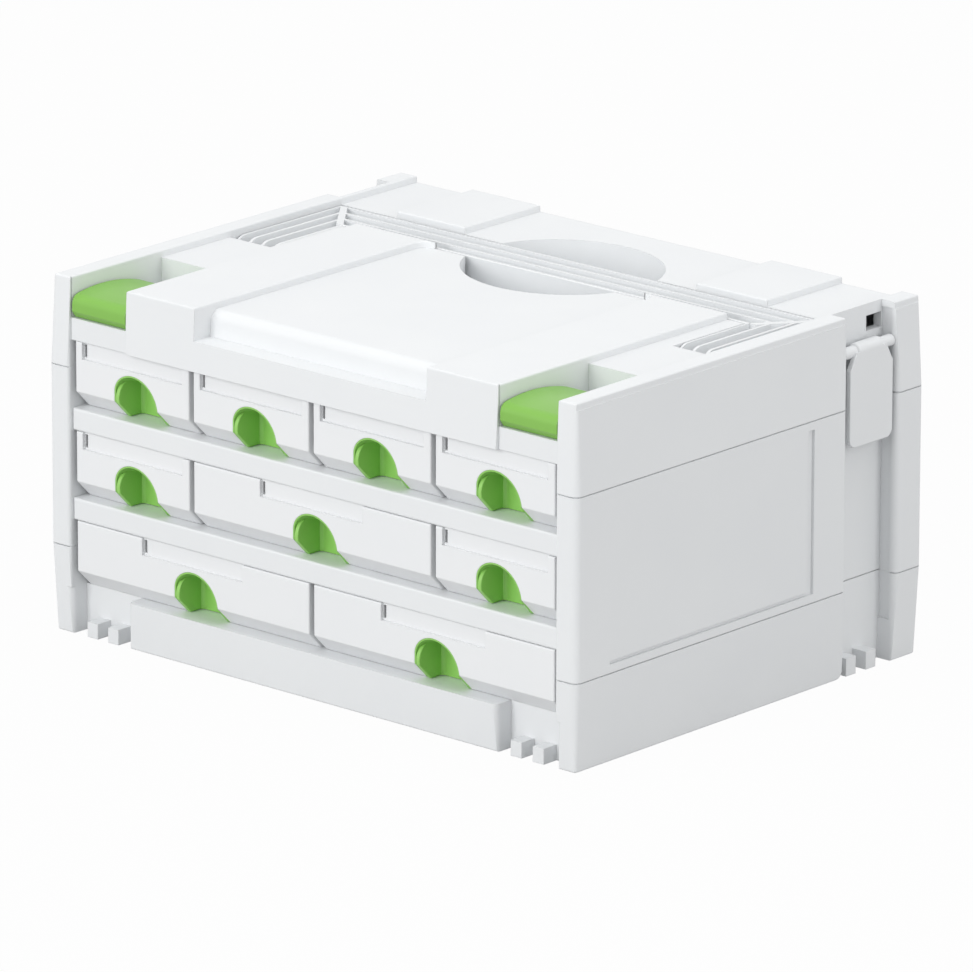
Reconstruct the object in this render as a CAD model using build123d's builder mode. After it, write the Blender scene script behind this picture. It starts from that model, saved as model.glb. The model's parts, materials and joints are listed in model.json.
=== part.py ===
"""Drawer organizer case: a stackable moulded cabinet with nine small-parts drawers.

Millimetres, +Z up, front towards -Y. The origin is on the surface the case stands on,
under the middle of its footprint.
"""

import os
from math import atan, cos, degrees, radians, sin, sqrt

from build123d import *

os.makedirs("parts", exist_ok=True)

# Overall case
case_width = 396.0
case_depth = 296.0
case_height = 210.0
corner_radius = 4.5
rim_radius = 1.2
lower_split = 51.6
cover_height = 52.0
base_draft_inset = 2.6
cover_draft_inset = 2.5
seam_height = 0.6
seam_depth = 1.2

# Walls
skin = 3.0
back_wall = 4.0
post_width = 15.5
post_solid = 8.0
inner_wall = 2.5
post_edge_radius = 2.0
tongue_fit = 0.3
tongue_thickness = 2.0
tongue_height = 6.0
tongue_root = 4.0
tongue_length = 120.0

# Drawer rows, counted from the bottom: how many columns each drawer spans
row_spans = [[2, 2], [1, 2, 1], [1, 1, 1, 1]]
columns = 4
row_floor = 27.6
fascia_height = 12.9
fascia_setback = 3.0
fascia_thickness = 3.0
board_thickness = 3.0
shelf_fit = 0.2
shelf_edge_radius = 1.2
rail_reach = 2.0
rail_height = 3.0
divider_thickness = 1.8
divider_setback = 17.0

# Drawers
drawer_gap = 3.5
end_gap = 2.9
drawer_fit = 0.3
drawer_wall = 1.8
front_wall = 4.0
lower_chamfer = 10.0
front_edge_radius = 1.0
rear_clearance = 4.0
drawer_travel = 200.0
stop_play = 0.5
stop_height = 6.0
stop_length = 8.0
stop_root = 4.0

# Label pocket in each drawer front
pocket_margin = 5.1
pocket_height = 9.9
pocket_depth = 2.0
pocket_gap = 2.5
slit_width = 1.8
slit_inset = 0.4
slit_margin = 1.2

# Drawer pulls
pull_radius = 19.7
pull_depth = 20.2
pull_fit = 0.1
pull_rim = 0.9
pull_lobe_reach = 13.4
pull_lobe_rise = 8.7
scoop_depth = 18.4
scoop_draw = 3.0
scoop_blend = 4.0
fin_thickness = 2.6
fin_offset = 10.4
fin_radius = 9.8
fin_rise = 5.1
fin_reach = 1.0
fin_root_rise = 4.6
fin_edge_radius = 0.6

# Cover top
valley_drop = 4.0
cover_rise = 23.7
latch_bay_width = 43.5
latch_bay_length = 77.0
latch_bay_line = 0.8
latch_bay_line_setback = 3.0
shoulder_width = 52.0
top_edge_radius = 1.0
rim_step_depth = 0.6
rim_step_height = 3.9
panel_ledge_height = 17.6
panel_toe_setback = 15.0
panel_top_setback = 16.2
panel_corner_radius = 9.0
panel_brow_radius = 6.5

# Carrying bail
bail_pivot_from_back = 151.5
bail_pivot_radius = 9.5
bail_arm_width = 30.0
bail_bar_reach = 66.8
bail_bar_width = 31.6
bail_bar_depth = 15.0
bail_bar_draw = 2.0
bail_bar_gap = 1.4
bail_side_gap = 1.1
bail_inner_gap = 0.6
bail_end_gap = 1.0
bail_under_gap = 0.6
bail_grooves = 3
bail_groove_depth = 6.0
bail_rib_width = 2.0
bail_spine_width = 5.4
bail_wall = 3.5
bail_edge_radius = 0.6
bail_pin_radius = 2.5
bail_pin_grip = 16.0
bail_pin_end_gap = 0.3
well_end_margin = 27.0
well_half_width = 56.0
well_offset = 2.7
well_rim_radius = 3.0
well_floor_thickness = 3.2

# Front latches
latch_gap = 1.0
latch_front_setback = 2.2
latch_rest_gap = 0.5
latch_pivot_from_front = 53.0
latch_pivot_height = 6.0
latch_nose_height = 12.9
latch_crown_height = 15.6
latch_crown_from_front = 29.0
latch_run_out = 72.0
latch_nose_radius = 6.0
latch_toe_setback = 2.6
latch_toe_height = 3.6
latch_wall = 2.6
latch_edge_radius = 0.8
latch_pin_radius = 2.0

# Side latches in their upright channels
rear_post_depth = 23.4
channel_width = 43.3
channel_depth = 13.0
channel_lip_radius = 4.0
wall_toe_radius = 6.0
guide_slot_width = 8.0
guide_slot_depth = 1.5
guide_slot_foot = 24.0
flap_pivot_drop = 22.0
flap_length = 54.5
flap_width = 37.0
flap_top_width = 26.0
flap_taper_length = 9.8
flap_thickness = 3.2
flap_inset = 1.2
flap_knuckle_radius = 4.6
flap_knuckle_width = 22.0
flap_knuckle_blend = 2.0
flap_arm_radius = 3.4
flap_gusset_length = 18.0
flap_end_gap = 0.4
flap_window_width = 13.0
flap_window_rise = 1.5
flap_corner_radius = 5.0
flap_edge_radius = 0.6
flap_pin_radius = 2.0

# Fits of the hinge pins, on the radius
pin_running_fit = 0.05
pin_seat_fit = 0.02
pin_seat_depth = 2.4

# Base front and feet
base_recess_depth = 12.4
base_panel_radius = 4.0
floor_rib_thickness = 3.0
front_foot_width = 8.0
front_foot_height = 9.0
front_foot_setback = 3.0
front_foot_insets = [30.5, 14.4]
side_foot_width = 8.4
side_foot_height = 10.5
side_foot_inset = 3.2
side_foot_offsets = [8.7, 26.0]

# Side grooves of the middle frame
groove_cut = 1.6
groove_rear_gap = 29.1
groove_upright_width = 5.2
groove_run_height = 2.0
groove_bottom_rise = 5.4
groove_top_drop = 5.5
groove_front_setback = 28.0

# Case screws
screw_radius = 1.7
screw_head_radius = 3.4
screw_head_height = 2.4
screw_length = 62.0
screw_fit = 0.05
screw_head_room = 0.3
screw_boss_radius = 5.2
screw_head_seat = 14.0
screw_inset_rear = 12.0
screw_inset_front = 14.0

# Worked out from the sizes above
half_width = case_width / 2
half_depth = case_depth / 2
bay_half = half_width - post_width
bay_front = -half_depth + fascia_setback
bay_back = half_depth - back_wall
upper_split = case_height - cover_height
row_pitch = (case_height - row_floor - cover_rise) / len(row_spans)
row_opening = row_pitch - fascia_height
row_floors = [row_floor + row_pitch * row for row in range(len(row_spans))]
band_bottom = row_floors[-1] + row_opening
latch_floor = row_floors[-1] + row_pitch
ceiling = latch_floor - board_thickness
panel_ledge = band_bottom + panel_ledge_height
valley = case_height - valley_drop
shoulder_outer = bay_half - latch_bay_width
shoulder_inner = shoulder_outer - shoulder_width
channel_back = half_depth - rear_post_depth
channel_front = channel_back - channel_width
channel_middle = channel_front + channel_width / 2
channel_floor_x = half_width - channel_depth
hollow_front = -half_depth + post_solid
hollow_back = channel_front - channel_lip_radius - skin
hollow_inner_x = bay_half + inner_wall
hollow_outer_x = half_width - skin - cover_draft_inset
column_pitch = (2 * (bay_half - end_gap) + drawer_gap) / columns
drawer_height = row_opening - 2 * drawer_fit
drawer_back = bay_back - rear_clearance
pocket_width = column_pitch - drawer_gap - 2 * pocket_margin
pull_centre_height = drawer_height - pocket_height - pocket_gap - pull_radius
screw_x = (hollow_inner_x + hollow_outer_x) / 2
screw_ys = (-half_depth + screw_inset_front, half_depth - screw_inset_rear)
screw_places = [(side * screw_x, y) for side in (-1, 1) for y in screw_ys]
latch_bay_back = -half_depth + latch_bay_length
bail_pivot_y = half_depth - bail_pivot_from_back
bail_pivot_z = valley - bail_pivot_radius
bail_floor = bail_pivot_z - bail_pivot_radius - bail_under_gap
bail_channel_front = bail_pivot_y - bail_pivot_radius - bail_end_gap
bail_arm_outer = bay_half - bail_side_gap
bail_arm_inner = bail_arm_outer - bail_arm_width
bail_channel_inner = bail_arm_inner - bail_inner_gap
bail_pin_inner = bail_arm_outer - bail_pin_grip
bail_bar_centre = bail_pivot_y + bail_bar_reach
bail_bar_front = bail_bar_centre - bail_bar_width / 2
bail_bar_back = bail_bar_centre + bail_bar_width / 2
bail_bar_underside = valley - bail_bar_depth
bail_slot_front = bail_bar_front - bail_bar_gap
bail_slot_back = bail_bar_back + bail_bar_gap
arm_groove_pitch = (bail_arm_width - bail_rib_width) / bail_grooves
bar_groove_pitch = (bail_bar_width - bail_rib_width) / bail_grooves
well_centre_y = bail_bar_centre + well_offset
well_half_length = shoulder_inner - well_end_margin
latch_front_y = -half_depth + latch_front_setback
latch_pivot_y = latch_front_y + latch_pivot_from_front
latch_pivot_z = latch_floor + latch_pivot_height
latch_knuckle_radius = latch_pivot_height - latch_rest_gap
latch_inner_x = shoulder_outer + latch_gap
latch_outer_x = bay_half - latch_gap
flap_face_x = half_width - flap_inset
flap_pivot_x = flap_face_x - flap_knuckle_radius
flap_pivot_z = case_height - flap_pivot_drop
flap_bottom = flap_pivot_z - flap_length
flap_taper_start = flap_pivot_z - flap_taper_length
groove_front_y = -half_depth + groove_front_setback
groove_rear_y = channel_front - groove_rear_gap
hands = {"left": -1, "right": 1}


def finish(part, label):
    part.label = label
    export_step(part, f"parts/{label}.step")


def block(low, high, mode=Mode.ADD):
    """A block between two opposite corners, in the part that is being built."""
    size = [b - a for a, b in zip(low, high)]
    middle = [(a + b) / 2 for a, b in zip(low, high)]
    with Locations(tuple(middle)):
        Box(*size, mode=mode)


def block_pair(low, high, mode=Mode.ADD):
    """The same block on the right and on the left of the case."""
    block(low, high, mode)
    block((-high[0], low[1], low[2]), (-low[0], high[1], high[2]), mode)


def drafted_block(wide_z, narrow_z, inset):
    """The case outline, drawn in by a draft from one level to another."""
    rise = abs(narrow_z - wide_z)
    upwards = 1 if narrow_z > wide_z else -1
    plan = Plane(origin=(0, 0, wide_z), x_dir=(1, 0, 0), z_dir=(0, 0, upwards))
    with BuildPart() as drafted:
        with BuildSketch(plan):
            RectangleRounded(case_width, case_depth, corner_radius)
        extrude(amount=rise, taper=degrees(atan(inset / rise)))
    return drafted.part


def notch_outline(width, depth, lip):
    """A slot open towards +Y whose two mouth edges are rounded."""
    half = width / 2
    with BuildSketch() as outline:
        with BuildLine():
            right_lip = CenterArc((half + lip, -lip), lip, 90, 90)
            left_lip = CenterArc((-half - lip, -lip), lip, 0, 90)
            Polyline(left_lip @ 1, (-half - lip, depth), (half + lip, depth), right_lip @ 0)
            Polyline(right_lip @ 1, (half, -depth), (-half, -depth), left_lip @ 0)
        make_face()
    return outline.sketch


def front_plane(x, y, z):
    """A level plane whose +Y runs out of the front of the case."""
    return Plane(origin=(x, y, z), x_dir=(-1, 0, 0), z_dir=(0, 0, 1))


def side_plane(side, z):
    """A level plane over a side channel whose +Y runs out of that side of the case."""
    origin = (side * half_width, channel_middle, z)
    return Plane(origin=origin, x_dir=(0, -side, 0), z_dir=(0, 0, 1))


# Plan outlines shared by the three shells of the casing
bay_outline = notch_outline(2 * bay_half, bay_back + half_depth, post_edge_radius)
channel_outline = notch_outline(channel_width, channel_depth, channel_lip_radius)
channel_seam_outline = notch_outline(
    channel_width + 2 * seam_depth, channel_depth + seam_depth, channel_lip_radius
)


def cut_plan(outline, plane, height):
    """Sink a plan outline through the part that is being built."""
    extrude(plane * outline, amount=height, mode=Mode.SUBTRACT)


def cut_bay(bottom, top):
    """Open the drawer bay, from the front to the back wall, between two levels."""
    cut_plan(bay_outline, front_plane(0, -half_depth, bottom), top - bottom)


def cut_channels(outline, bottom, top):
    """Open the two side channels between two levels."""
    for side in hands.values():
        cut_plan(outline, side_plane(side, bottom), top - bottom)


def cut_side_pockets(bottom, top):
    """Hollow the double side walls and the rear posts between two levels."""
    post_front = channel_back + channel_lip_radius
    low = (hollow_inner_x, hollow_front, bottom)
    block_pair(low, (hollow_outer_x, hollow_back, top), Mode.SUBTRACT)
    low = (hollow_inner_x, post_front, bottom)
    block_pair(low, (hollow_outer_x, bay_back, top), Mode.SUBTRACT)


def cut_guide_slots(bottom, top):
    """The shallow upright slot in the front face of each rear post."""
    low = (channel_floor_x, channel_back, bottom)
    high = (channel_floor_x + guide_slot_width, channel_back + guide_slot_depth, top)
    block_pair(low, high, Mode.SUBTRACT)


def cut_seam(bottom):
    """The thin shadow groove where two shells of the casing meet."""
    with BuildSketch(Plane.XY.offset(bottom)) as ring:
        RectangleRounded(case_width, case_depth, corner_radius)
        RectangleRounded(
            case_width - 2 * seam_depth,
            case_depth - 2 * seam_depth,
            corner_radius - seam_depth,
            mode=Mode.SUBTRACT,
        )
    extrude(ring.sketch, amount=seam_height, mode=Mode.SUBTRACT)
    cut_channels(channel_seam_outline, bottom, bottom + seam_height)


def add_tongues(seam_z):
    """Locating tongues that drop from a shell into the hollow walls of the shell below."""
    inner = hollow_inner_x + tongue_fit
    outer = inner + tongue_thickness
    front = (hollow_front + hollow_back - tongue_length) / 2
    back = front + tongue_length
    block_pair((bay_half, front, seam_z), (outer, back, seam_z + tongue_root))
    block_pair((inner, front, seam_z - tongue_height), (outer, back, seam_z))


def bore(radius, low, high, axis):
    """A round hole from one point along an axis direction to another."""
    length = (Vector(*high) - Vector(*low)).length
    with Locations(Plane(origin=low, z_dir=axis)):
        Cylinder(
            radius,
            length,
            align=(Align.CENTER, Align.CENTER, Align.MIN),
            mode=Mode.SUBTRACT,
        )


# Base: the lowest shell, with the floor of the bottom drawer row, a front panel and feet
panel_face_y = -half_depth + base_draft_inset * (1 - row_floor / lower_split)
recess_back_y = -half_depth + base_recess_depth
underside_top = row_floor - board_thickness
recess_outline = notch_outline(bay_half - shoulder_outer, base_recess_depth, base_panel_radius)
base_blank = drafted_block(lower_split, 0, base_draft_inset)

with BuildPart() as base:
    add(base_blank)
    fillet(base.faces().sort_by(Axis.Z)[0].edges(), radius=rim_radius)
    cut_bay(row_floor, lower_split)
    for side in hands.values():
        recess_x = side * (shoulder_outer + bay_half) / 2
        cut_plan(recess_outline, front_plane(recess_x, panel_face_y, 0), row_floor)
    block(
        (-bay_half + inner_wall, recess_back_y + skin, 0),
        (bay_half - inner_wall, bay_back, underside_top),
        Mode.SUBTRACT,
    )
    block(
        (-shoulder_outer + skin, panel_face_y + skin, 0),
        (shoulder_outer - skin, recess_back_y + skin, underside_top),
        Mode.SUBTRACT,
    )
    # Crossed ribs under the floor, level with the rim that the case stands on
    rib_half = floor_rib_thickness / 2
    block((-bay_half, -rib_half, 0), (bay_half, rib_half, row_floor))
    block((-rib_half, recess_back_y, 0), (rib_half, bay_back, row_floor))
    cut_channels(channel_outline, 0, lower_split)
    cut_side_pockets(skin, lower_split)
    cut_guide_slots(guide_slot_foot, lower_split)
    # The round lower corner of each side wall, where it meets the channel
    for side in hands.values():
        with BuildSketch(Plane.YZ.offset(side * half_width)):
            with Locations((channel_front, 0)):
                Rectangle(
                    channel_lip_radius + wall_toe_radius,
                    wall_toe_radius,
                    align=(Align.MAX, Align.MIN),
                )
            with Locations((channel_front - wall_toe_radius, wall_toe_radius)):
                Circle(wall_toe_radius, mode=Mode.SUBTRACT)
            with Locations((channel_front - wall_toe_radius, 0)):
                Rectangle(
                    channel_lip_radius,
                    wall_toe_radius,
                    align=(Align.MAX, Align.MIN),
                    mode=Mode.SUBTRACT,
                )
        extrude(amount=-side * channel_depth, mode=Mode.SUBTRACT)
    for foot_inset in front_foot_insets:
        foot_x = bay_half - foot_inset
        block_pair(
            (foot_x - front_foot_width / 2, -half_depth + front_foot_setback, 0),
            (foot_x + front_foot_width / 2, recess_back_y + skin, front_foot_height),
        )
    for foot_offset in side_foot_offsets:
        foot_y = channel_front + foot_offset
        block_pair(
            (bay_half, foot_y - side_foot_width / 2, 0),
            (half_width - side_foot_inset, foot_y + side_foot_width / 2, side_foot_height),
        )
    with Locations(*[(*place, skin) for place in screw_places]):
        Cylinder(
            screw_boss_radius,
            lower_split - skin,
            align=(Align.CENTER, Align.CENTER, Align.MIN),
        )
    for place in screw_places:
        bore(screw_radius + screw_fit, (*place, 0), (*place, lower_split), (0, 0, 1))
        bore(screw_head_radius + screw_head_room, (*place, 0), (*place, screw_head_seat), (0, 0, 1))
finish(base.part, "base")


# Middle frame: side walls, posts and back, with rails that carry the two shelves
with BuildPart() as middle_frame:
    with BuildSketch(Plane.XY.offset(lower_split)):
        RectangleRounded(case_width, case_depth, corner_radius)
    extrude(amount=upper_split - lower_split)
    cut_seam(lower_split)
    cut_seam(upper_split - seam_height)
    cut_bay(lower_split, upper_split)
    cut_channels(channel_outline, lower_split, upper_split)
    cut_side_pockets(lower_split, upper_split)
    cut_guide_slots(lower_split, upper_split)
    for shelf_top in row_floors[1:]:
        rail_top = shelf_top - board_thickness
        block_pair(
            (bay_half - rail_reach, bay_front + fascia_thickness + shelf_fit, rail_top - rail_height),
            (hollow_inner_x, bay_back, rail_top),
        )
    groove_bottom = lower_split + groove_bottom_rise
    block_pair(
        (half_width - groove_cut, groove_rear_y - groove_upright_width, groove_bottom),
        (half_width, groove_rear_y, upper_split - groove_top_drop),
        Mode.SUBTRACT,
    )
    block_pair(
        (half_width - groove_cut, groove_front_y, groove_bottom),
        (half_width, groove_rear_y, groove_bottom + groove_run_height),
        Mode.SUBTRACT,
    )
    with Locations(*[(*place, lower_split) for place in screw_places]):
        Cylinder(
            screw_boss_radius,
            screw_length,
            align=(Align.CENTER, Align.CENTER, Align.MIN),
        )
    for place in screw_places:
        pilot_top = lower_split + screw_length
        bore(screw_radius + screw_fit, (*place, lower_split), (*place, pilot_top), (0, 0, 1))
    add_tongues(lower_split)
finish(middle_frame.part, "middle_frame")


# Case screws: driven up from under the base into the middle frame
with BuildPart() as case_screws:
    with Locations(*[(*place, screw_head_seat) for place in screw_places]):
        Cylinder(screw_radius, screw_length, align=(Align.CENTER, Align.CENTER, Align.MIN))
        Cylinder(screw_head_radius, screw_head_height, align=(Align.CENTER, Align.CENTER, Align.MAX))
finish(case_screws.part, "case_screws")


# Shelves: a board with a fascia along its front, over each of the two lower rows
shelf_half = bay_half - shelf_fit
for shelf_name, shelf_top in zip(("lower_shelf", "upper_shelf"), row_floors[1:]):
    with BuildPart() as shelf:
        block(
            (-shelf_half, bay_front, shelf_top - fascia_height),
            (shelf_half, bay_front + fascia_thickness, shelf_top),
        )
        fillet(shelf.faces().sort_by(Axis.Y)[0].edges(), radius=shelf_edge_radius)
        block(
            (-shelf_half, bay_front + fascia_thickness, shelf_top - board_thickness),
            (shelf_half, bay_back - shelf_fit, shelf_top),
        )
    finish(shelf.part, shelf_name)


# Dividers: thin upright walls between the drawers of each row
for row, spans in enumerate(row_spans):
    wall_bottom = row_floors[row]
    wall_top = wall_bottom + row_pitch - board_thickness - drawer_fit
    column = 0
    for place, span in enumerate(spans[:-1], start=1):
        column += span
        wall_x = (column - columns / 2) * column_pitch
        with BuildPart() as divider:
            block(
                (wall_x - divider_thickness / 2, bay_front + divider_setback, wall_bottom),
                (wall_x + divider_thickness / 2, bay_back - shelf_fit, wall_top),
            )
        finish(divider.part, f"divider_row{row + 1}_{place}")


# Drawers with their pulls
def pull_outline(grow):
    """The front view of a pull about its arch's centre: an arch to the right, a lobe to the left."""
    foot = drawer_height
    radius = pull_radius + grow
    with BuildSketch() as outline:
        Circle(radius)
        with Locations((0, -foot / 2)):
            Rectangle(2 * radius, foot)
        with Locations((0, -foot)):
            Rectangle(radius, foot + radius, align=(Align.MAX, Align.MIN), mode=Mode.SUBTRACT)
        with Locations((0, pull_lobe_rise)):
            Ellipse(pull_lobe_reach + grow, pull_radius - pull_lobe_rise + grow)
            Rectangle(pull_lobe_reach + grow, foot + pull_lobe_rise, align=(Align.MAX, Align.MAX))
    return outline.sketch


def side_profile(x, front, bend_front, bend_bottom, bottom, back, top):
    """The side view of a drawer, or of its inside, with the slant at the lower front."""
    with BuildSketch(Plane.YZ.offset(x)) as profile:
        with BuildLine():
            Polyline(
                (front, top),
                (front, bend_bottom),
                (bend_front, bottom),
                (back, bottom),
                (back, top),
                close=True,
            )
        make_face()
    return profile.sketch


def make_drawer(label, x, width, bottom):
    """A tray whose thick front has a slanted foot, a label pocket and a seat for the pull."""
    top = bottom + drawer_height
    left = x - width / 2
    outer = side_profile(
        left, bay_front, bay_front + lower_chamfer, bottom + lower_chamfer, bottom, drawer_back, top
    )
    slant = lower_chamfer + drawer_wall * sqrt(2)
    inner = side_profile(
        left + drawer_wall,
        bay_front + front_wall,
        bay_front + slant - drawer_wall,
        bottom + slant - front_wall,
        bottom + drawer_wall,
        drawer_back - drawer_wall,
        top,
    )
    face = Plane(origin=(x, bay_front, bottom + pull_centre_height), x_dir=(1, 0, 0), z_dir=(0, -1, 0))
    seat = face * pull_outline(pull_fit)
    seat_wall = face * pull_outline(pull_fit + drawer_wall)
    with BuildPart() as inside:
        extrude(inner, amount=width - 2 * drawer_wall)
        extrude(seat_wall, amount=-pull_depth - pull_fit - drawer_wall, mode=Mode.SUBTRACT)
    with BuildPart() as drawer:
        extrude(outer, amount=width)
        front_edges = drawer.edges().filter_by_position(
            Axis.Y, bay_front - front_edge_radius, bay_front + lower_chamfer - front_edge_radius
        )
        fillet(front_edges, radius=front_edge_radius)
        add(inside.part, mode=Mode.SUBTRACT)
        extrude(seat, amount=-pull_depth - pull_fit, mode=Mode.SUBTRACT)
        # Label pocket, open at the top, with a slit through the wall at its left end
        pocket_left = x - pocket_width / 2
        pocket_bottom = top - pocket_height
        block(
            (pocket_left, bay_front, pocket_bottom),
            (pocket_left + pocket_width, bay_front + pocket_depth, top),
            Mode.SUBTRACT,
        )
        slit_left = pocket_left + slit_inset
        block(
            (slit_left, bay_front, pocket_bottom + slit_margin),
            (slit_left + slit_width, bay_front + front_wall, top - slit_margin),
            Mode.SUBTRACT,
        )
        # Stop lugs that meet the back of the fascia when the drawer is fully out
        stop_front = bay_front + fascia_thickness + drawer_travel + stop_play
        for lug_left in (left, left + width - drawer_wall):
            block(
                (lug_left, stop_front, top - stop_root),
                (lug_left + drawer_wall, stop_front + stop_length, top + stop_height),
            )
    finish(drawer.part, label)


def make_pull(label, x, bottom):
    """A deep scoop, open at the foot, that fills the seat in a drawer front, with an upright fin."""
    outer = side_profile(
        x - pull_radius,
        bay_front,
        bay_front + lower_chamfer,
        bottom + lower_chamfer,
        bottom,
        bay_front + lower_chamfer + pull_depth,
        bottom + drawer_height,
    )
    face = Plane(origin=(x, bay_front, bottom + pull_centre_height), x_dir=(1, 0, 0), z_dir=(0, -1, 0))
    seat = face * pull_outline(0)
    mouth = face * pull_outline(-pull_rim)
    scoop_floor = face.offset(-scoop_depth) * pull_outline(-pull_rim - scoop_draw)
    with BuildPart() as scoop:
        loft([mouth, scoop_floor])
        fillet(scoop.faces().sort_by(Axis.Y)[-1].edges(), radius=scoop_blend)
    # The fin is a disc with a root web, and keeps to the slant of the drawer's foot and to its underside
    fin_left = x - fin_offset - fin_thickness / 2
    fin_y = bay_front - fin_reach + fin_radius
    fin_z = bottom + pull_centre_height + fin_rise
    fin_back = bay_front + (scoop_depth + pull_depth) / 2
    web_front = fin_y - fin_radius / 2
    fin_limits = side_profile(
        fin_left,
        bay_front - lower_chamfer,
        bay_front + lower_chamfer - fin_reach,
        bottom + 2 * lower_chamfer - fin_reach,
        bottom,
        fin_back,
        bottom + drawer_height,
    )
    with BuildPart() as fin:
        with BuildSketch(Plane.YZ.offset(fin_left)):
            with Locations((fin_y, fin_z)):
                Circle(fin_radius)
            with Locations((web_front, fin_z + fin_root_rise)):
                Rectangle(fin_back - web_front, drawer_height, align=(Align.MIN, Align.MAX))
        extrude(amount=fin_thickness)
        extrude(fin_limits, amount=fin_thickness, mode=Mode.INTERSECT)
        sides = fin.faces().sort_by(Axis.X)
        fillet(sides[0].edges() + sides[-1].edges(), radius=fin_edge_radius)
        # Its top stays inside the mouth of the scoop
        extrude(mouth, amount=pull_depth, both=True, mode=Mode.INTERSECT)
    with BuildPart() as pull:
        extrude(outer, amount=2 * pull_radius)
        extrude(seat, amount=-pull_depth, mode=Mode.INTERSECT)
        add(scoop.part, mode=Mode.SUBTRACT)
        add(fin.part)
    finish(pull.part, label)


for row, spans in enumerate(row_spans):
    column = 0
    for place, span in enumerate(spans, start=1):
        drawer_x = (column + span / 2 - columns / 2) * column_pitch
        drawer_width = span * column_pitch - drawer_gap
        drawer_bottom = row_floors[row] + drawer_fit
        make_drawer(f"drawer_row{row + 1}_{place}", drawer_x, drawer_width, drawer_bottom)
        make_pull(f"pull_row{row + 1}_{place}", drawer_x, drawer_bottom)
        column += span


# Top cover: the upper shell, with shoulders, latch bays, the bail's channel and a finger well
bay_recess_outline = notch_outline(bay_half - shoulder_outer, fascia_setback, post_edge_radius)
cover_blank = drafted_block(upper_split, case_height, cover_draft_inset)
panel_toe_y = -half_depth + panel_toe_setback
panel_top_y = -half_depth + panel_top_setback

with BuildPart() as panel_cut:
    with BuildSketch(Plane.YZ.offset(-shoulder_inner)):
        with BuildLine():
            Polyline(
                (-half_depth, panel_ledge),
                (panel_toe_y, panel_ledge),
                (panel_top_y, valley),
                (bail_slot_front, valley),
                (bail_slot_front, case_height),
                (-half_depth, case_height),
                close=True,
            )
        panel_side = make_face()
        brow = panel_side.vertices().sort_by_distance((panel_top_y, valley))[0]
        fillet(brow, radius=panel_brow_radius)
    extrude(amount=2 * shoulder_inner)
    rear_corners = panel_cut.edges().filter_by(Axis.Z).group_by(Axis.Y)[-1]
    fillet(rear_corners, radius=panel_corner_radius)

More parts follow.
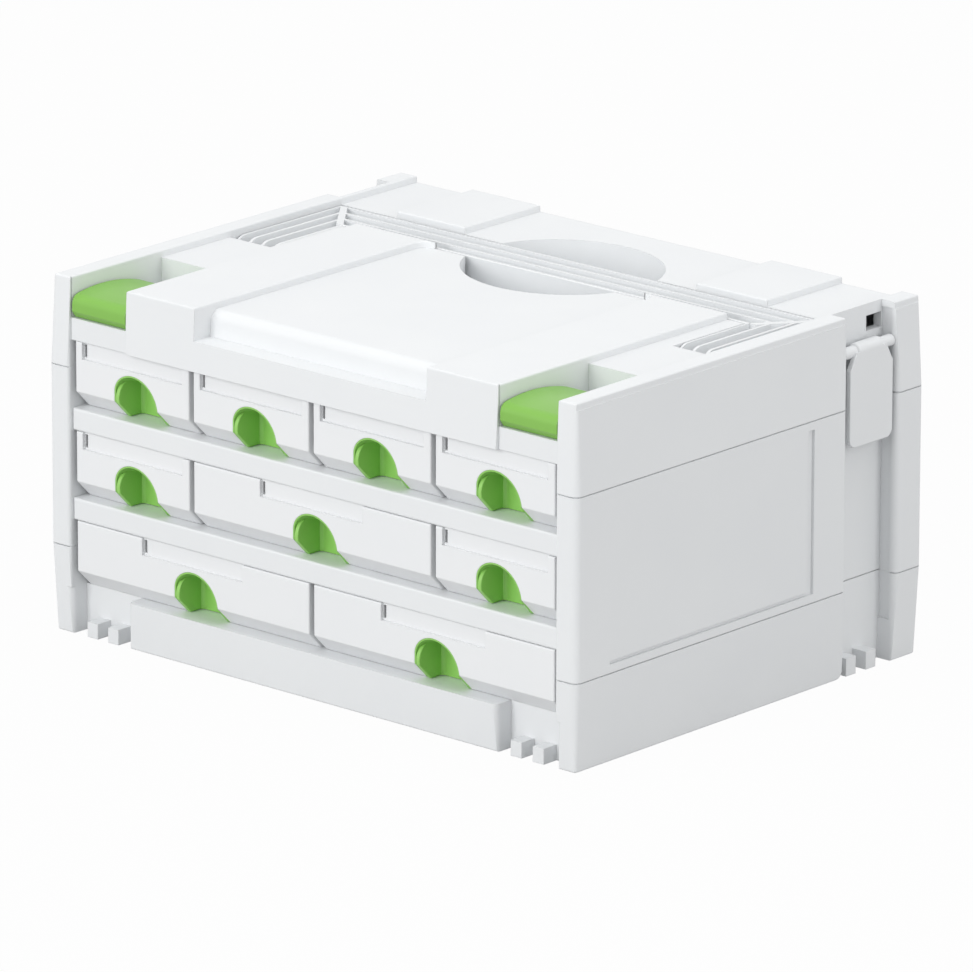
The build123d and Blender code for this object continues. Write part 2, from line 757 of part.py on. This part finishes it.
with BuildPart() as top_cover:
    add(cover_blank)
    # The drawer bay: open at the front below the band, and up to the ceiling behind it
    cut_bay(upper_split, band_bottom)
    block(
        (-bay_half, bay_front + fascia_thickness, band_bottom),
        (bay_half, bay_back, ceiling),
        Mode.SUBTRACT,
    )
    # The top: centre panel, valleys, latch bays and the open tops of the side channels
    add(panel_cut.part, mode=Mode.SUBTRACT)
    block(
        (-shoulder_inner, bail_slot_front, valley),
        (shoulder_inner, half_depth, case_height),
        Mode.SUBTRACT,
    )
    block_pair(
        (shoulder_outer, latch_bay_back, valley),
        (bay_half, half_depth, case_height),
        Mode.SUBTRACT,
    )
    block_pair(
        (shoulder_outer, -half_depth, latch_floor),
        (bay_half, latch_bay_back, case_height),
        Mode.SUBTRACT,
    )
    # A shallow step along the top of each side
    block_pair(
        (half_width - cover_draft_inset - rim_step_depth, -half_depth, case_height - rim_step_height),
        (half_width, half_depth, case_height),
        Mode.SUBTRACT,
    )
    for side in hands.values():
        recess_x = side * (shoulder_outer + bay_half) / 2
        bay_height = case_height - band_bottom
        cut_plan(bay_recess_outline, front_plane(recess_x, -half_depth, band_bottom), bay_height)
    # The bail's channel, as a U, and the finger well under its bar
    block_pair(
        (bail_channel_inner, bail_channel_front, bail_floor),
        (bay_half, bail_slot_back, case_height),
        Mode.SUBTRACT,
    )
    block(
        (-bail_channel_inner, bail_slot_front, bail_floor),
        (bail_channel_inner, bail_slot_back, case_height),
        Mode.SUBTRACT,
    )
    with BuildSketch(Plane.XY.offset(ceiling + well_floor_thickness)):
        with Locations((0, well_centre_y)):
            Ellipse(well_half_length, well_half_width)
    extrude(amount=case_height - ceiling, mode=Mode.SUBTRACT)
    well_edges = top_cover.edges().filter_by(GeomType.ELLIPSE)
    fillet(well_edges.group_by(Axis.Z)[-1], radius=well_rim_radius)
    # Round the edges of everything that stands up to the full height
    crown = top_cover.faces().filter_by(Axis.Z).group_by(Axis.Z)[-1]
    fillet(crown.edges(), radius=top_edge_radius)
    cut_channels(channel_outline, upper_split, case_height)
    # A thin upright line in both side walls of each latch bay
    line_front = -half_depth + latch_bay_line_setback
    for wall_x in (shoulder_outer - latch_bay_line, bay_half):
        block_pair(
            (wall_x, line_front, latch_floor),
            (wall_x + latch_bay_line, line_front + latch_bay_line, case_height),
            Mode.SUBTRACT,
        )
    # Hollows, opened from below
    cut_side_pockets(upper_split, valley - skin)
    cut_guide_slots(upper_split, valley)
    shoulder_hollow_low = (shoulder_inner + skin, bay_front + fascia_thickness, ceiling)
    block_pair(
        shoulder_hollow_low,
        (shoulder_outer - skin, bail_slot_front - skin, valley),
        Mode.SUBTRACT,
    )
    block_pair(
        (shoulder_inner + skin, bail_slot_back + skin, ceiling),
        (shoulder_outer - skin, bay_back, valley),
        Mode.SUBTRACT,
    )
    block_pair(
        (shoulder_outer + skin, latch_bay_back + skin, ceiling),
        (bay_half - skin, bail_channel_front - skin, valley - skin),
        Mode.SUBTRACT,
    )
    block_pair(
        (shoulder_outer - skin, bail_channel_front, ceiling),
        (bail_channel_inner - skin, bail_slot_front - skin, valley - skin),
        Mode.SUBTRACT,
    )
    block_pair(
        (shoulder_outer + skin, bail_slot_back + skin, ceiling),
        (bay_half - skin, bay_back, valley - skin),
        Mode.SUBTRACT,
    )
    block(
        (-shoulder_inner + skin, panel_top_y + skin, ceiling),
        (shoulder_inner - skin, well_centre_y - well_half_width - skin, valley - skin),
        Mode.SUBTRACT,
    )
    block(
        (-shoulder_inner + skin, well_centre_y + well_half_width + skin, ceiling),
        (shoulder_inner - skin, bay_back, valley - skin),
        Mode.SUBTRACT,
    )
    # A window in the floor of each channel, over the side latch's barrel and beside the rear post
    window_bottom = flap_pivot_z + flap_knuckle_radius + flap_window_rise
    block_pair(
        (bay_half - skin, channel_back - flap_window_width, window_bottom),
        (channel_floor_x, channel_back, valley - skin),
        Mode.SUBTRACT,
    )
    # Seats of the hinge pins
    for side in hands.values():
        pin_low = (side * (shoulder_outer - pin_seat_depth), latch_pivot_y, latch_pivot_z)
        pin_high = (side * (bay_half + pin_seat_depth), latch_pivot_y, latch_pivot_z)
        bore(latch_pin_radius + pin_seat_fit, pin_low, pin_high, (side, 0, 0))
        pin_low = (side * bay_half, bail_pivot_y, bail_pivot_z)
        pin_high = (side * (bay_half + pin_seat_depth), bail_pivot_y, bail_pivot_z)
        bore(bail_pin_radius + pin_seat_fit, pin_low, pin_high, (side, 0, 0))
        pin_low = (side * flap_pivot_x, channel_front - pin_seat_depth, flap_pivot_z)
        pin_high = (side * flap_pivot_x, channel_back + pin_seat_depth, flap_pivot_z)
        bore(flap_pin_radius + pin_seat_fit, pin_low, pin_high, (0, 1, 0))
    add_tongues(upper_split)
finish(top_cover.part, "top_cover")


# Carrying bail: a ribbed U that lies flat in the cover and swings up at its two arm ends
with BuildPart() as bail_handle:
    for side in hands.values():
        with BuildSketch(Plane.YZ.offset(side * bail_arm_inner)):
            with Locations((bail_pivot_y, bail_pivot_z)):
                Circle(bail_pivot_radius)
            with BuildLine():
                Polyline(
                    (bail_pivot_y, valley),
                    (bail_bar_back, valley),
                    (bail_bar_back - bail_bar_draw, bail_bar_underside),
                    (bail_bar_front, bail_bar_underside),
                    (bail_pivot_y, bail_pivot_z - bail_pivot_radius),
                    close=True,
                )
            make_face()
        extrude(amount=side * bail_arm_width)
    with BuildSketch(Plane.YZ.offset(-bail_arm_outer)):
        with BuildLine():
            Polyline(
                (bail_bar_front, valley),
                (bail_bar_back, valley),
                (bail_bar_back - bail_bar_draw, bail_bar_underside),
                (bail_bar_front + bail_bar_draw, bail_bar_underside),
                close=True,
            )
        make_face()
    extrude(amount=2 * bail_arm_outer)
    fillet(bail_handle.faces().filter_by(Axis.Z).sort_by(Axis.Z)[-1].edges(), radius=bail_edge_radius)
    # Grooves run round the top of the U, and leave thin ribs between them
    groove_floor = valley - bail_groove_depth
    for step in range(bail_grooves):
        inner_x = bail_arm_inner + bail_rib_width + step * arm_groove_pitch
        outer_x = inner_x + arm_groove_pitch - bail_rib_width
        inner_y = bail_bar_front + bail_rib_width + step * bar_groove_pitch
        outer_y = inner_y + bar_groove_pitch - bail_rib_width
        arm_end_y = bail_pivot_y - bail_pivot_radius
        block_pair((inner_x, arm_end_y, groove_floor), (outer_x, outer_y, valley), Mode.SUBTRACT)
        block((-outer_x, inner_y, groove_floor), (outer_x, outer_y, valley), Mode.SUBTRACT)
    # A spine runs across the grooves at each corner of the U
    spine_front = bail_bar_front + bail_rib_width / 2
    spine_back = bail_bar_back - bail_rib_width / 2
    spine_inner = bail_arm_inner + bail_edge_radius
    spine_outer = bail_arm_outer - bail_edge_radius
    with BuildSketch(Plane.XY.offset(groove_floor)):
        for side in hands.values():
            with BuildLine():
                Polyline(
                    (side * spine_inner, spine_front),
                    (side * (spine_inner + bail_spine_width), spine_front),
                    (side * spine_outer, spine_back),
                    (side * (spine_outer - bail_spine_width), spine_back),
                    close=True,
                )
            make_face()
    extrude(amount=bail_groove_depth)
    # The bar is cored out from below
    block(
        (-bail_arm_inner, bail_bar_front + bail_bar_draw + bail_wall, bail_bar_underside),
        (bail_arm_inner, bail_bar_back - bail_bar_draw - bail_wall, groove_floor - bail_wall),
        Mode.SUBTRACT,
    )
    for side in hands.values():
        pin_low = (side * (bail_pin_inner - bail_pin_end_gap), bail_pivot_y, bail_pivot_z)
        pin_high = (side * bail_arm_outer, bail_pivot_y, bail_pivot_z)
        bore(bail_pin_radius + pin_running_fit, pin_low, pin_high, (side, 0, 0))
finish(bail_handle.part, "bail_handle")


def make_pin(label, radius, low, high, axis):
    """A plain hinge pin between two points."""
    length = (Vector(*high) - Vector(*low)).length
    with BuildPart() as pin:
        with Locations(Plane(origin=low, z_dir=axis)):
            Cylinder(radius, length, align=(Align.CENTER, Align.CENTER, Align.MIN))
    finish(pin.part, label)


# Front latches, side latches and all the hinge pins, one of each on either side
for hand, side in hands.items():
    make_pin(
        f"bail_pin_{hand}",
        bail_pin_radius,
        (side * bail_pin_inner, bail_pivot_y, bail_pivot_z),
        (side * (bay_half + pin_seat_depth), bail_pivot_y, bail_pivot_z),
        (side, 0, 0),
    )

    latch_middle = (latch_inner_x + latch_outer_x) / 2
    latch_half = (latch_outer_x - latch_inner_x) / 2
    latch_bottom = latch_floor + latch_rest_gap
    nose_top = (latch_front_y, latch_floor + latch_nose_height)
    crown_top = (latch_front_y + latch_crown_from_front, latch_floor + latch_crown_height)
    run_out = (
        latch_pivot_y + latch_knuckle_radius * cos(radians(latch_run_out)),
        latch_pivot_z + latch_knuckle_radius * sin(radians(latch_run_out)),
    )
    with BuildPart() as front_latch:
        with BuildSketch(Plane.YZ.offset(side * latch_middle)):
            with BuildLine():
                crown_arc = ThreePointArc(nose_top, crown_top, run_out)
                CenterArc(
                    (latch_pivot_y, latch_pivot_z),
                    latch_knuckle_radius,
                    latch_run_out,
                    -90 - latch_run_out,
                )
                Polyline(
                    (latch_pivot_y, latch_bottom),
                    (latch_front_y + latch_toe_setback, latch_bottom),
                    (latch_front_y, latch_bottom + latch_toe_height),
                    crown_arc @ 0,
                )
            latch_side = make_face()
            fillet(latch_side.vertices().sort_by_distance(nose_top)[0], radius=latch_nose_radius)
        extrude(amount=latch_half, both=True)
        cheeks = front_latch.faces().sort_by(Axis.X)
        fillet(cheeks[0].edges() + cheeks[-1].edges(), radius=latch_edge_radius)
        # Cored out from below, in front of the knuckle
        low_x, high_x = sorted((side * (latch_inner_x + latch_wall), side * (latch_outer_x - latch_wall)))
        block(
            (low_x, latch_front_y + latch_toe_setback + latch_wall, latch_bottom),
            (
                high_x,
                latch_pivot_y - latch_knuckle_radius - latch_wall,
                latch_floor + latch_nose_height - latch_wall,
            ),
            Mode.SUBTRACT,
        )
        pin_low = (side * latch_inner_x, latch_pivot_y, latch_pivot_z)
        pin_high = (side * latch_outer_x, latch_pivot_y, latch_pivot_z)
        bore(latch_pin_radius + pin_running_fit, pin_low, pin_high, (side, 0, 0))
    finish(front_latch.part, f"front_latch_{hand}")
    make_pin(
        f"front_latch_pin_{hand}",
        latch_pin_radius,
        (side * (shoulder_outer - pin_seat_depth), latch_pivot_y, latch_pivot_z),
        (side * (bay_half + pin_seat_depth), latch_pivot_y, latch_pivot_z),
        (side, 0, 0),
    )

    with BuildPart() as knuckle:
        with Locations(Plane(origin=(side * flap_pivot_x, channel_middle, flap_pivot_z), z_dir=(0, 1, 0))):
            Cylinder(flap_knuckle_radius, flap_knuckle_width)
        fillet(knuckle.edges().filter_by(GeomType.CIRCLE), radius=flap_knuckle_blend)
    with BuildPart() as side_latch:
        with BuildSketch(Plane.YZ.offset(side * flap_face_x)):
            with BuildLine():
                Polyline(
                    (channel_middle - flap_width / 2, flap_bottom),
                    (channel_middle + flap_width / 2, flap_bottom),
                    (channel_middle + flap_width / 2, flap_taper_start),
                    (channel_middle + flap_top_width / 2, flap_pivot_z),
                    (channel_middle - flap_top_width / 2, flap_pivot_z),
                    (channel_middle - flap_width / 2, flap_taper_start),
                    close=True,
                )
            plate_face = make_face()
            lower_corners = plate_face.vertices().group_by(Axis.Y)[0]
            fillet(lower_corners, radius=flap_corner_radius)
        extrude(amount=-side * flap_thickness)
        outer_face = side_latch.faces().filter_by(Axis.X).sort_by(Axis.X)[-1 if side > 0 else 0]
        rounded = outer_face.edges().group_by(Axis.Z)[:-1]
        fillet([edge for group in rounded for edge in group], radius=flap_edge_radius)
        # The barrel of the hinge: thick over the plate, thinner out to the ends of the channel
        add(knuckle.part)
        with BuildSketch(Plane.XZ.offset(-channel_middle)):
            with Locations((side * flap_pivot_x, flap_pivot_z)):
                Circle(flap_arm_radius)
        extrude(amount=channel_width / 2 - flap_end_gap, both=True)
        # A gusset that thins out from the barrel into the plate
        with BuildSketch(Plane.XZ.offset(-channel_middle)):
            with BuildLine():
                Polyline(
                    (side * flap_face_x, flap_pivot_z),
                    (side * (flap_pivot_x - flap_knuckle_radius), flap_pivot_z),
                    (side * (flap_face_x - flap_thickness), flap_pivot_z - flap_gusset_length),
                    (side * (flap_face_x - flap_edge_radius), flap_pivot_z - flap_gusset_length),
                    close=True,
                )
            make_face()
        extrude(amount=flap_knuckle_width / 2 - flap_knuckle_blend, both=True)
        pin_low = (side * flap_pivot_x, channel_front, flap_pivot_z)
        pin_high = (side * flap_pivot_x, channel_back, flap_pivot_z)
        bore(flap_pin_radius + pin_running_fit, pin_low, pin_high, (0, 1, 0))
    finish(side_latch.part, f"side_latch_{hand}")
    make_pin(
        f"side_latch_pin_{hand}",
        flap_pin_radius,
        (side * flap_pivot_x, channel_front - pin_seat_depth, flap_pivot_z),
        (side * flap_pivot_x, channel_back + pin_seat_depth, flap_pivot_z),
        (0, 1, 0),
    )
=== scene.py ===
import json
import math

import bmesh
import bpy
from mathutils import Matrix, Vector

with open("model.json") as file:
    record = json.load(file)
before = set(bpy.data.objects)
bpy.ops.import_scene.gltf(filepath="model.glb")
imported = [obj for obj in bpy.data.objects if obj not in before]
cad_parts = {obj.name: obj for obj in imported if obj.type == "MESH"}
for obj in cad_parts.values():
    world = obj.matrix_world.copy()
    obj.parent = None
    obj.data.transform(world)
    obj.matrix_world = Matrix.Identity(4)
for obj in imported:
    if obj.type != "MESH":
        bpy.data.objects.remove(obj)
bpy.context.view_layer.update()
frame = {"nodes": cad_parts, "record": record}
nodes = frame["nodes"]
mm = 0.001
plainWhite = (1.0, 1.0, 1.0, 1.0)
print("frame loaded,", len(nodes), "nodes")


def linearColor(hexCode):
    # sRGB hex to the linear values that Blender's sockets take
    channels = [int(hexCode[i:i + 2], 16) / 255 for i in (1, 3, 5)]
    return [c / 12.92 if c <= 0.04045 else ((c + 0.055) / 1.055) ** 2.4 for c in channels] + [1.0]


def addNode(tree, kind, settings=None, links=None, **attributes):
    # one node, its attributes, its socket values and what feeds its inputs
    node = tree.nodes.new(kind)
    for name, value in attributes.items():
        setattr(node, name, value)
    for socket, value in (settings or {}).items():
        node.inputs[socket].default_value = value
    for socket, source in (links or {}).items():
        tree.links.new(source, node.inputs[socket])
    return node


def newMaterial(name):
    material = bpy.data.materials.new(name)
    material.use_nodes = True
    material.node_tree.nodes.clear()
    return material, material.node_tree


# Moulded ABS: a fine spark-eroded grain breaks up the highlights, big soft patches of
# slightly other roughness show where the melt flowed, and every edge has a small round
moulded = {
    "grainSize": 0.55 * mm,  # about 0.1 mm on the real case; drawn coarser so that it shows
    "grainDetail": 2.0,
    "grainDepth": 0.035 * mm,
    "grainStrength": 0.35,
    "flowSize": 60 * mm,
    "flowDetail": 3.0,
    "flowRange": (0.3, 0.7),
    "smoother": 0.05,  # how far the patches depart from the finish's roughness
    "rougher": 0.06,
    "edgeRadius": 0.5 * mm,
    "edgeSamples": 4,
    "ior": 1.54,
    "specular": 0.42,
}


def mouldedAbs(name, color, shade, roughness):
    material, tree = newMaterial(name)
    coords = addNode(tree, "ShaderNodeTexCoord").outputs["Object"]
    edge = addNode(
        tree, "ShaderNodeBevel", {"Radius": moulded["edgeRadius"]}, samples=moulded["edgeSamples"]
    )
    flow = addNode(
        tree, "ShaderNodeTexNoise",
        {"Scale": 1 / moulded["flowSize"], "Detail": moulded["flowDetail"]}, {"Vector": coords},
    )
    grain = addNode(
        tree, "ShaderNodeTexNoise",
        {"Scale": 1 / moulded["grainSize"], "Detail": moulded["grainDetail"]}, {"Vector": coords},
    )
    tint = addNode(
        tree, "ShaderNodeMix", {"A": linearColor(color), "B": linearColor(shade)},
        {"Factor": flow.outputs["Fac"]}, data_type="RGBA",
    )
    low, high = moulded["flowRange"]
    spread = addNode(
        tree, "ShaderNodeMapRange",
        {
            "From Min": low,
            "From Max": high,
            "To Min": roughness - moulded["smoother"],
            "To Max": roughness + moulded["rougher"],
        },
        {"Value": flow.outputs["Fac"]},
    )
    bump = addNode(
        tree, "ShaderNodeBump",
        {"Strength": moulded["grainStrength"], "Distance": moulded["grainDepth"]},
        {"Height": grain.outputs["Fac"], "Normal": edge.outputs["Normal"]},
    )
    shader = addNode(
        tree, "ShaderNodeBsdfPrincipled",
        {"IOR": moulded["ior"], "Specular IOR Level": moulded["specular"]},
        {
            "Base Color": tint.outputs["Result"],
            "Roughness": spread.outputs["Result"],
            "Normal": bump.outputs["Normal"],
        },
    )
    addNode(tree, "ShaderNodeOutputMaterial", links={"Surface": shader.outputs["BSDF"]})
    return material


# Bright drawn wire: metal whose gloss is broken by fine marks
drawn = {
    "markSize": 0.8 * mm,
    "markDetail": 3.0,
    "roughness": (0.22, 0.4),
}


def drawnSteel(name, color):
    material, tree = newMaterial(name)
    coords = addNode(tree, "ShaderNodeTexCoord").outputs["Object"]
    marks = addNode(
        tree, "ShaderNodeTexNoise",
        {"Scale": 1 / drawn["markSize"], "Detail": drawn["markDetail"]}, {"Vector": coords},
    )
    smooth, rough = drawn["roughness"]
    spread = addNode(
        tree, "ShaderNodeMapRange", {"To Min": smooth, "To Max": rough}, {"Value": marks.outputs["Fac"]}
    )
    shader = addNode(
        tree, "ShaderNodeBsdfPrincipled", {"Base Color": linearColor(color), "Metallic": 1.0},
        {"Roughness": spread.outputs["Result"]},
    )
    addNode(tree, "ShaderNodeOutputMaterial", links={"Surface": shader.outputs["BSDF"]})
    return material


caseWhite = mouldedAbs("moulded abs case white", "#E6E8E9", "#E2E4E6", roughness=0.46)
drawerWhite = mouldedAbs("moulded abs drawer white", "#E9EAEB", "#E5E7E9", roughness=0.42)
pullGreen = mouldedAbs("moulded abs pull green", "#95CE68", "#8DC660", roughness=0.36)
latchGreen = mouldedAbs("moulded abs latch green", "#84BB52", "#7CB34B", roughness=0.34)
pinSteel = drawnSteel("drawn steel pin", "#B9BBBE")

materialOfSlot = {
    "case_white": caseWhite,
    "drawer_white": drawerWhite,
    "bail_white": caseWhite,
    "side_latch_white": caseWhite,
    "pull_green": pullGreen,
    "latch_green": latchGreen,
    "pin_steel": pinSteel,
}
slotOfNode = {part["node"]: part["material_slot"] for part in frame["record"]["subparts"]}
for name, obj in nodes.items():
    for materialSlot in obj.material_slots:
        materialSlot.material = materialOfSlot[slotOfNode[name]]
print("materials assigned")


def seenRays(tree, path):
    # 1 where the camera looks straight at a surface or sees it in a reflection
    return addNode(
        tree, "ShaderNodeMath",
        links={0: path.outputs["Is Camera Ray"], 1: path.outputs["Is Glossy Ray"]}, operation="MAXIMUM",
    ).outputs["Value"]


# Pale floor: looks almost white, and throws less light back up than it seems to
paleFloor = {
    "size": 12.0,
    "color": "#B8B8B8",
    "glow": 0.97,
}


def makeFloor():
    material, tree = newMaterial("pale floor")
    paper = addNode(tree, "ShaderNodeBsdfDiffuse", {"Color": linearColor(paleFloor["color"])})
    glow = addNode(tree, "ShaderNodeEmission", {"Color": plainWhite, "Strength": 1.0})
    path = addNode(tree, "ShaderNodeLightPath")
    share = addNode(
        tree, "ShaderNodeMath", {1: paleFloor["glow"]}, {0: seenRays(tree, path)}, operation="MULTIPLY"
    )
    mix = addNode(
        tree, "ShaderNodeMixShader",
        links={0: share.outputs["Value"], 1: paper.outputs["BSDF"], 2: glow.outputs["Emission"]},
    )
    addNode(tree, "ShaderNodeOutputMaterial", links={"Surface": mix.outputs["Shader"]})
    bm = bmesh.new()
    bmesh.ops.create_grid(bm, x_segments=1, y_segments=1, size=paleFloor["size"] / 2)
    mesh = bpy.data.meshes.new("floor")
    bm.to_mesh(mesh)
    bm.free()
    mesh.materials.append(material)
    floor = bpy.data.objects.new("floor", mesh)
    bpy.context.scene.collection.objects.link(floor)


# White room: full white where it is seen, dimmer as a light on the case
studio = {"ambient": 0.66}


def makeWorld():
    world = bpy.data.worlds.new("studio")
    bpy.context.scene.world = world
    world.use_nodes = True
    tree = world.node_tree
    tree.nodes.clear()
    path = addNode(tree, "ShaderNodeLightPath")
    through = addNode(
        tree, "ShaderNodeMath",
        links={0: seenRays(tree, path), 1: path.outputs["Is Transmission Ray"]}, operation="MAXIMUM",
    )
    room = addNode(tree, "ShaderNodeBackground", {"Color": plainWhite, "Strength": studio["ambient"]})
    backdrop = addNode(tree, "ShaderNodeBackground", {"Color": plainWhite, "Strength": 1.0})
    mix = addNode(
        tree, "ShaderNodeMixShader",
        links={
            0: through.outputs["Value"],
            1: room.outputs["Background"],
            2: backdrop.outputs["Background"],
        },
    )
    addNode(tree, "ShaderNodeOutputWorld", links={"Surface": mix.outputs["Shader"]})


# Round softboxes, all turned towards the middle of the case
softboxes = {
    "key softbox": {"place": (-0.4, -3.3, 1.5), "power": 60.0, "size": 2.2},
    "top softbox": {"place": (0.2, 0.2, 3.0), "power": 23.5, "size": 2.4},
    "side softbox": {"place": (3.0, 0.5, 1.2), "power": 19.5, "size": 1.6},
}
softboxAim = (0.0, 0.0, 0.1)


def makeSoftbox(name, place, power, size):
    lamp = bpy.data.lights.new(name, "AREA")
    lamp.shape = "DISK"
    lamp.energy = power
    lamp.size = size
    obj = bpy.data.objects.new(name, lamp)
    bpy.context.scene.collection.objects.link(obj)
    obj.location = place
    aim = Vector(softboxAim) - Vector(place)
    obj.rotation_euler = aim.to_track_quat("-Z", "Y").to_euler()


# Camera where the photograph was taken from: fitted to the case's corners and edges
cameraFit = {
    "azimuth": 41.594,
    "elevation": 16.908,
    "roll": 0.103,
    "distance": 6.0603,
    "aimHeight": 0.105,
    "slideRight": 0.00092,
    "slideUp": -0.0129,
    "lens": 397.92,
    "sensor": 36.0,
    "nearest": 0.1,
    "farthest": 40.0,
}


def makeCamera():
    azimuth, elevation, roll = (math.radians(cameraFit[k]) for k in ("azimuth", "elevation", "roll"))
    level = Vector((math.cos(azimuth), math.sin(azimuth), 0.0))
    back = Vector((
        math.sin(azimuth) * math.cos(elevation),
        -math.cos(azimuth) * math.cos(elevation),
        math.sin(elevation),
    ))
    upright = back.cross(level)
    right = math.cos(roll) * level + math.sin(roll) * upright
    up = -math.sin(roll) * level + math.cos(roll) * upright
    place = Vector((0.0, 0.0, cameraFit["aimHeight"])) + back * cameraFit["distance"]
    place += right * cameraFit["slideRight"] + up * cameraFit["slideUp"]
    data = bpy.data.cameras.new("camera")
    data.lens = cameraFit["lens"]
    data.sensor_width = cameraFit["sensor"]
    data.clip_start = cameraFit["nearest"]
    data.clip_end = cameraFit["farthest"]
    camera = bpy.data.objects.new("camera", data)
    bpy.context.scene.collection.objects.link(camera)
    turn = Matrix((right, up, back)).transposed().to_4x4()
    camera.matrix_world = Matrix.Translation(place) @ turn
    bpy.context.scene.camera = camera


makeFloor()
makeWorld()
for name, softbox in softboxes.items():
    makeSoftbox(name, **softbox)
makeCamera()
bpy.context.scene.view_settings.view_transform = "Standard"
print("stage and camera set")
